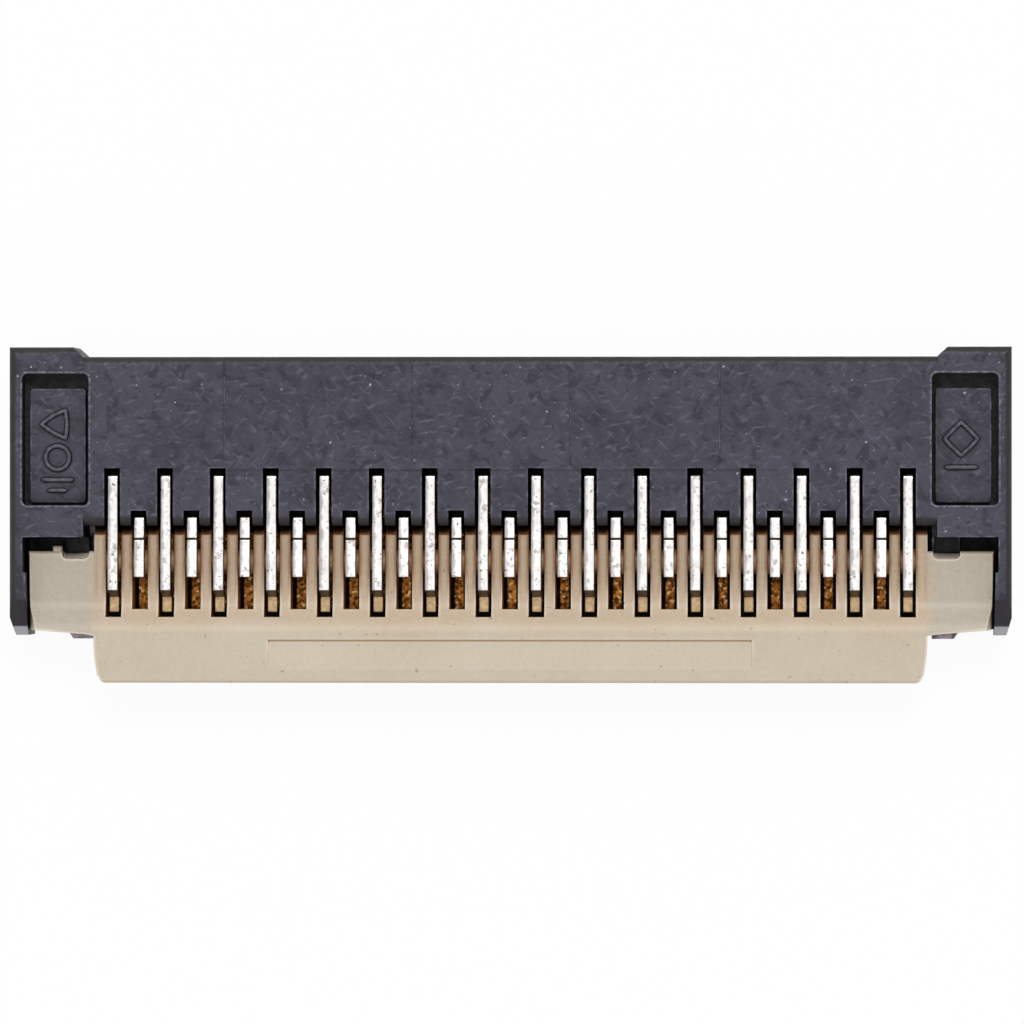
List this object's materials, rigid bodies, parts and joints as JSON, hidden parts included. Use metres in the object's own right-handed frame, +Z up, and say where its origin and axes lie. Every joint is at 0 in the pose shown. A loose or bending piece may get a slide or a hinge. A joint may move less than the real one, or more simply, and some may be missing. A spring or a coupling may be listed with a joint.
{
  "type": "flat cable connector",
  "caption": "Low board connector for a flat flexible cable: black housing, beige back-flip actuator and a fine row of staggered spring contacts.",
  "frame": {"origin": "centre of the base, on the board's surface", "axes": "+X along the row of contacts, +Y out of the cable mouth, +Z up off the board; the actuator's lip is at -Y"},
  "size_m": [0.0114, 0.0038, 0.001],
  "materials": {
    "housing_black": "glass-filled, satin",
    "actuator_beige": "satin",
    "contact_metal": "plated, bright",
    "nail_metal": "tin plated, satin"
  },
  "bodies": {
    "base": {"housing": "housing_black", "fitting_nail_left": "nail_metal", "fitting_nail_right": "nail_metal", "contact_01": "contact_metal", "contact_02": "contact_metal", "contact_03": "contact_metal", "contact_04": "contact_metal", "contact_05": "contact_metal", "contact_06": "contact_metal", "contact_07": "contact_metal", "contact_08": "contact_metal", "contact_09": "contact_metal", "contact_10": "contact_metal", "contact_11": "contact_metal", "contact_12": "contact_metal", "contact_13": "contact_metal", "contact_14": "contact_metal", "contact_15": "contact_metal", "contact_16": "contact_metal", "contact_17": "contact_metal", "contact_18": "contact_metal", "contact_19": "contact_metal", "contact_20": "contact_metal", "contact_21": "contact_metal", "contact_22": "contact_metal", "contact_23": "contact_metal", "contact_24": "contact_metal", "contact_25": "contact_metal", "contact_26": "contact_metal", "contact_27": "contact_metal", "contact_28": "contact_metal", "contact_29": "contact_metal", "contact_30": "contact_metal", "contact_31": "contact_metal"},
    "flip": {"actuator": "actuator_beige"}
  },
  "joints": [
    {"name": "actuator_flip", "type": "hinge", "parent": "base", "child": "flip", "pos_m": [0, -0.00053, 0.00054], "axis": [-1, 0, 0], "range_deg": [0, 90]}
  ]
}
